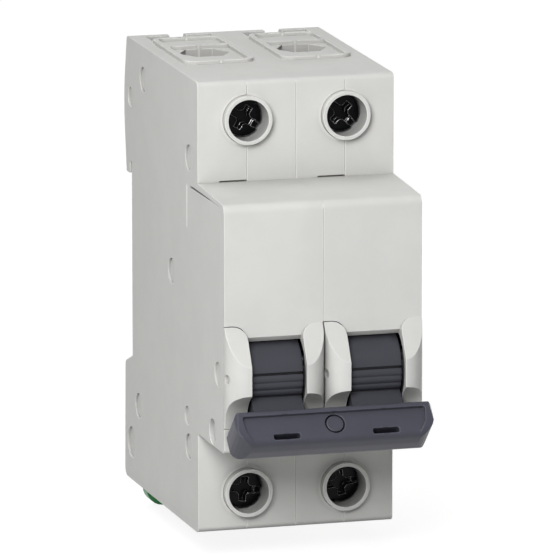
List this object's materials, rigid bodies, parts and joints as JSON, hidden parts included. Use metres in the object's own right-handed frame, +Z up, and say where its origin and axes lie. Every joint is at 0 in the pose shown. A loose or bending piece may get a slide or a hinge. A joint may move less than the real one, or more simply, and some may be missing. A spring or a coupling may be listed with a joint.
{
  "type": "modular circuit breaker",
  "caption": "Modular circuit breaker for a top-hat rail: side-by-side pole cases, tied toggle handle, screw clamps, sprung rail clips and a working trip and contact mechanism inside.",
  "frame": {"origin": "middle of the rail seat: on the plane the rail's face lies on, at the rail's centre line and between the two poles", "axes": "+X across the poles to the right, -Y out of the nose towards the user, +Z up"},
  "size_m": [0.036, 0.0752, 0.0877],
  "materials": {
    "case_plastic": "light grey moulded thermoset, fine satin",
    "handle_plastic": "slate grey moulded plastic, satin",
    "clip_plastic": "green moulded plastic, satin",
    "inner_plastic": "black moulded plastic",
    "plain_steel": "plain turned steel",
    "plated_steel": "zinc plated steel",
    "spring_steel": "drawn spring wire",
    "black_steel": "blackened steel screw",
    "copper": "bare rolled copper",
    "copper_braid": "fine copper strands",
    "enamelled_wire": "enamelled copper wire",
    "contact_silver": "silver alloy contact",
    "brass": "turned brass",
    "bimetal_strip": "rolled bimetal strip",
    "fibre_board": "vulcanised fibre board"
  },
  "bodies": {
    "case": {"left_pole_left_shell": "case_plastic", "left_pole_right_shell": "case_plastic", "right_pole_left_shell": "case_plastic", "right_pole_right_shell": "case_plastic", "case_pins": "case_plastic", "handle_axles": "plain_steel", "contact_arm_axles": "plain_steel", "trip_lever_axles": "plain_steel", "left_handle_spring": "spring_steel", "right_handle_spring": "spring_steel", "left_contact_spring": "spring_steel", "right_contact_spring": "spring_steel", "left_braid": "copper_braid", "right_braid": "copper_braid", "left_fixed_contact": "copper", "right_fixed_contact": "copper", "fixed_contact_tips": "contact_silver", "left_arc_plates": "plated_steel", "right_arc_plates": "plated_steel", "arc_chute_cheeks": "fibre_board", "lower_arc_runners": "copper", "left_trip_coil": "enamelled_wire", "right_trip_coil": "enamelled_wire", "coil_bobbins": "inner_plastic", "coil_yokes": "plain_steel", "coil_cores": "plain_steel", "calibration_screws": "brass", "left_upper_strap": "copper", "right_upper_strap": "copper", "left_lower_strap": "copper", "right_lower_strap": "copper"},
    "handle": {"left_toggle": "handle_plastic", "right_toggle": "handle_plastic", "handle_tie_bar": "handle_plastic"},
    "trip_unit": {"left_trip_lever": "inner_plastic", "right_trip_lever": "inner_plastic", "trip_link_rod": "plain_steel"},
    "left_link": {"left_drive_link": "spring_steel"},
    "left_arm": {"left_contact_arm": "copper", "left_moving_tip": "contact_silver"},
    "left_striker": {"left_plunger": "plain_steel"},
    "left_strip": {"left_bimetal": "bimetal_strip"},
    "left_clip": {"left_rail_clip": "clip_plastic"},
    "left_upper_clamp": {"left_upper_cage": "plated_steel"},
    "left_upper_bolt": {"left_upper_screw": "black_steel"},
    "left_lower_clamp": {"left_lower_cage": "plated_steel"},
    "left_lower_bolt": {"left_lower_screw": "black_steel"},
    "right_link": {"right_drive_link": "spring_steel"},
    "right_arm": {"right_contact_arm": "copper", "right_moving_tip": "contact_silver"},
    "right_striker": {"right_plunger": "plain_steel"},
    "right_strip": {"right_bimetal": "bimetal_strip"},
    "right_clip": {"right_rail_clip": "clip_plastic"},
    "right_upper_clamp": {"right_upper_cage": "plated_steel"},
    "right_upper_bolt": {"right_upper_screw": "black_steel"},
    "right_lower_clamp": {"right_lower_cage": "plated_steel"},
    "right_lower_bolt": {"right_lower_screw": "black_steel"}
  },
  "joints": [
    {"name": "handle_swing", "type": "hinge", "parent": "case", "child": "handle", "pos_m": [0, -0.057, -0.009], "axis": [-1, 0, 0], "range_deg": [0, 94], "deforming": ["left_handle_spring", "right_handle_spring"]},
    {"name": "trip_turn", "type": "hinge", "parent": "case", "child": "trip_unit", "pos_m": [0, -0.0435, -0.01698], "axis": [1, 0, 0], "range_deg": [0, 4.3], "stiffness_Nm_per_rad": 0.1},
    {"name": "left_link_pin", "type": "hinge", "parent": "handle", "child": "left_link", "pos_m": [-0.009, -0.05949, -0.00668], "axis": [1, 0, 0], "range_deg": [0, 94]},
    {"name": "left_arm_pivot", "type": "hinge", "parent": "case", "child": "left_arm", "pos_m": [-0.009, -0.037, -0.02058], "axis": [-1, 0, 0], "range_deg": [0, 20.47], "deforming": ["left_contact_spring", "left_braid"]},
    {"name": "left_striker_slide", "type": "slide", "parent": "case", "child": "left_striker", "axis": [0, -1, 0], "range_m": [0, 0.0025]},
    {"name": "left_strip_bend", "type": "hinge", "parent": "case", "child": "left_strip", "pos_m": [-0.009, -0.0341, -0.02698], "axis": [1, 0, 0], "range_deg": [0, 1.73]},
    {"name": "left_upper_clamp_slide", "type": "slide", "parent": "case", "child": "left_upper_clamp", "axis": [0, -1, 0], "range_m": [0, 0.005]},
    {"name": "left_upper_screw_turn", "type": "hinge", "parent": "case", "child": "left_upper_bolt", "pos_m": [-0.009, -0.042, 0.0335], "axis": [0, 1, 0], "range_deg": [0, 2251]},
    {"name": "left_lower_clamp_slide", "type": "slide", "parent": "case", "child": "left_lower_clamp", "axis": [0, -1, 0], "range_m": [0, 0.005]},
    {"name": "left_lower_screw_turn", "type": "hinge", "parent": "case", "child": "left_lower_bolt", "pos_m": [-0.009, -0.042, -0.0335], "axis": [0, 1, 0], "range_deg": [0, 2251]},
    {"name": "left_clip_slide", "type": "slide", "parent": "case", "child": "left_clip", "axis": [0, 0, -1], "range_m": [0, 0.0045], "stiffness_N_per_m": 300},
    {"name": "right_link_pin", "type": "hinge", "parent": "handle", "child": "right_link", "pos_m": [0.009, -0.05949, -0.00668], "axis": [1, 0, 0], "range_deg": [0, 94]},
    {"name": "right_arm_pivot", "type": "hinge", "parent": "case", "child": "right_arm", "pos_m": [0.009, -0.037, -0.02058], "axis": [-1, 0, 0], "range_deg": [0, 20.47], "deforming": ["right_contact_spring", "right_braid"]},
    {"name": "right_striker_slide", "type": "slide", "parent": "case", "child": "right_striker", "axis": [0, -1, 0], "range_m": [0, 0.0025]},
    {"name": "right_strip_bend", "type": "hinge", "parent": "case", "child": "right_strip", "pos_m": [0.009, -0.0341, -0.02698], "axis": [1, 0, 0], "range_deg": [0, 1.73]},
    {"name": "right_upper_clamp_slide", "type": "slide", "parent": "case", "child": "right_upper_clamp", "axis": [0, -1, 0], "range_m": [0, 0.005]},
    {"name": "right_upper_screw_turn", "type": "hinge", "parent": "case", "child": "right_upper_bolt", "pos_m": [0.009, -0.042, 0.0335], "axis": [0, 1, 0], "range_deg": [0, 2251]},
    {"name": "right_lower_clamp_slide", "type": "slide", "parent": "case", "child": "right_lower_clamp", "axis": [0, -1, 0], "range_m": [0, 0.005]},
    {"name": "right_lower_screw_turn", "type": "hinge", "parent": "case", "child": "right_lower_bolt", "pos_m": [0.009, -0.042, -0.0335], "axis": [0, 1, 0], "range_deg": [0, 2251]},
    {"name": "right_clip_slide", "type": "slide", "parent": "case", "child": "right_clip", "axis": [0, 0, -1], "range_m": [0, 0.0045], "stiffness_N_per_m": 300}
  ],
  "couplings": [
    {"joint": "left_link_pin", "follows": "handle_swing", "ratio": 1},
    {"joint": "left_arm_pivot", "follows": "handle_swing", "ratio": 0.21768},
    {"joint": "left_striker_slide", "follows": "trip_turn", "m_per_rad": 0.033},
    {"joint": "left_strip_bend", "follows": "trip_turn", "ratio": 0.4},
    {"joint": "left_upper_screw_turn", "follows": "left_upper_clamp_slide", "rad_per_m": 7854},
    {"joint": "left_lower_screw_turn", "follows": "left_lower_clamp_slide", "rad_per_m": 7854},
    {"joint": "right_link_pin", "follows": "handle_swing", "ratio": 1},
    {"joint": "right_arm_pivot", "follows": "handle_swing", "ratio": 0.21768},
    {"joint": "right_striker_slide", "follows": "trip_turn", "m_per_rad": 0.033},
    {"joint": "right_strip_bend", "follows": "trip_turn", "ratio": 0.4},
    {"joint": "right_upper_screw_turn", "follows": "right_upper_clamp_slide", "rad_per_m": 7854},
    {"joint": "right_lower_screw_turn", "follows": "right_lower_clamp_slide", "rad_per_m": 7854}
  ]
}
